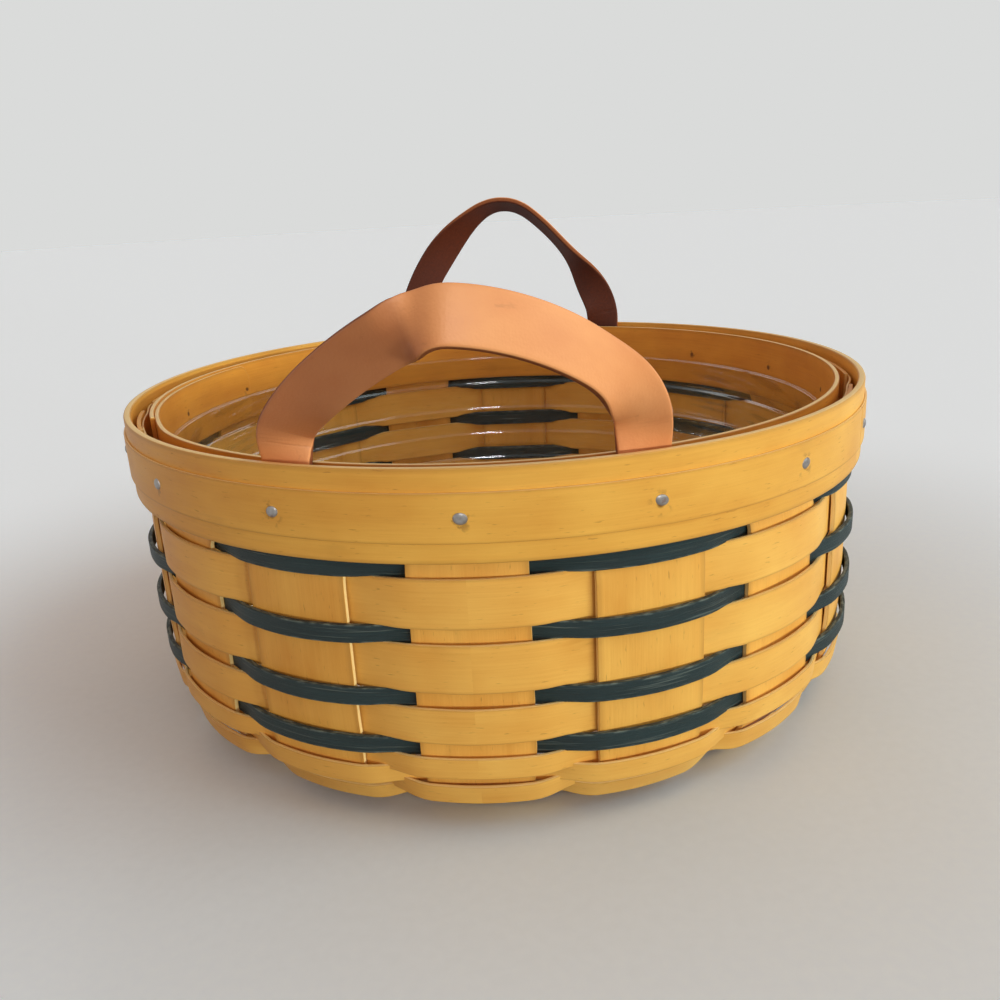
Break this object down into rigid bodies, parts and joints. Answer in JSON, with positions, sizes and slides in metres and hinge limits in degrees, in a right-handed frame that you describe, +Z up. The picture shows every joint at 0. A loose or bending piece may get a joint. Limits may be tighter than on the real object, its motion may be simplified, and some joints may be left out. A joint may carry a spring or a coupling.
{
  "type": "darning basket",
  "caption": "Round splint basket with broad uprights, woven natural and dark green weavers, a banded rim, two leather ear handles and a clear drop-in liner.",
  "frame": {"origin": "on the table under the basket's axis, at the middle of the lowest crossing splint", "axes": "+Z up along the basket's axis, -Y towards the front handle, +X to the right seen from the front"},
  "size_m": [0.2622, 0.2833, 0.1694],
  "materials": {
    "upright_wood": "satin stained splint",
    "weaver_wood": "satin stained splint",
    "accent_wood": "dyed dark green splint",
    "band_wood": "satin stained band",
    "strap_leather": "smooth tan leather",
    "tack_steel": "dull tack head",
    "liner_plastic": "clear moulded plastic"
  },
  "bodies": {
    "basket": {"upright_splint_1": "upright_wood", "upright_splint_2": "upright_wood", "upright_splint_3": "upright_wood", "upright_splint_4": "upright_wood", "upright_splint_5": "upright_wood", "upright_splint_6": "upright_wood", "upright_splint_7": "upright_wood", "upright_splint_8": "upright_wood", "accent_weaver_1": "accent_wood", "accent_weaver_2": "accent_wood", "accent_weaver_3": "accent_wood", "accent_weaver_4": "accent_wood", "wide_weaver_1": "weaver_wood", "wide_weaver_2": "weaver_wood", "wide_weaver_3": "weaver_wood", "narrow_weaver_1": "weaver_wood", "narrow_weaver_2": "weaver_wood", "narrow_weaver_3": "weaver_wood", "narrow_weaver_4": "weaver_wood", "narrow_weaver_5": "weaver_wood", "narrow_weaver_6": "weaver_wood", "rim_weaver": "weaver_wood", "outer_band": "band_wood", "inner_band": "band_wood", "trim_strip": "band_wood", "rim_tack_1": "tack_steel", "rim_tack_2": "tack_steel", "rim_tack_3": "tack_steel", "rim_tack_4": "tack_steel", "rim_tack_5": "tack_steel", "rim_tack_6": "tack_steel", "rim_tack_7": "tack_steel", "rim_tack_8": "tack_steel", "rim_tack_9": "tack_steel", "rim_tack_10": "tack_steel", "rim_tack_11": "tack_steel", "rim_tack_12": "tack_steel", "rim_tack_13": "tack_steel", "rim_tack_14": "tack_steel", "rim_tack_15": "tack_steel", "rim_tack_16": "tack_steel", "front_handle_tail_left": "strap_leather", "front_handle_tail_right": "strap_leather", "rear_handle_tail_left": "strap_leather", "rear_handle_tail_right": "strap_leather"},
    "front_handle": {"front_handle_loop": "strap_leather"},
    "rear_handle": {"rear_handle_loop": "strap_leather"},
    "liner": {"liner": "liner_plastic"}
  },
  "joints": [
    {"name": "front_handle_lean", "type": "hinge", "parent": "basket", "child": "front_handle", "pos_m": [0, -0.11621, 0.1144], "axis": [1, 0, 0], "range_deg": [-28, 44], "stiffness_Nm_per_rad": 0.1},
    {"name": "rear_handle_lean", "type": "hinge", "parent": "basket", "child": "rear_handle", "pos_m": [0, 0.11621, 0.1144], "axis": [-1, 0, 0], "range_deg": [-2, 74], "stiffness_Nm_per_rad": 0.1},
    {"name": "liner_lift", "type": "slide", "parent": "basket", "child": "liner", "axis": [0, 0, 1], "range_m": [0, 0.12]}
  ]
}
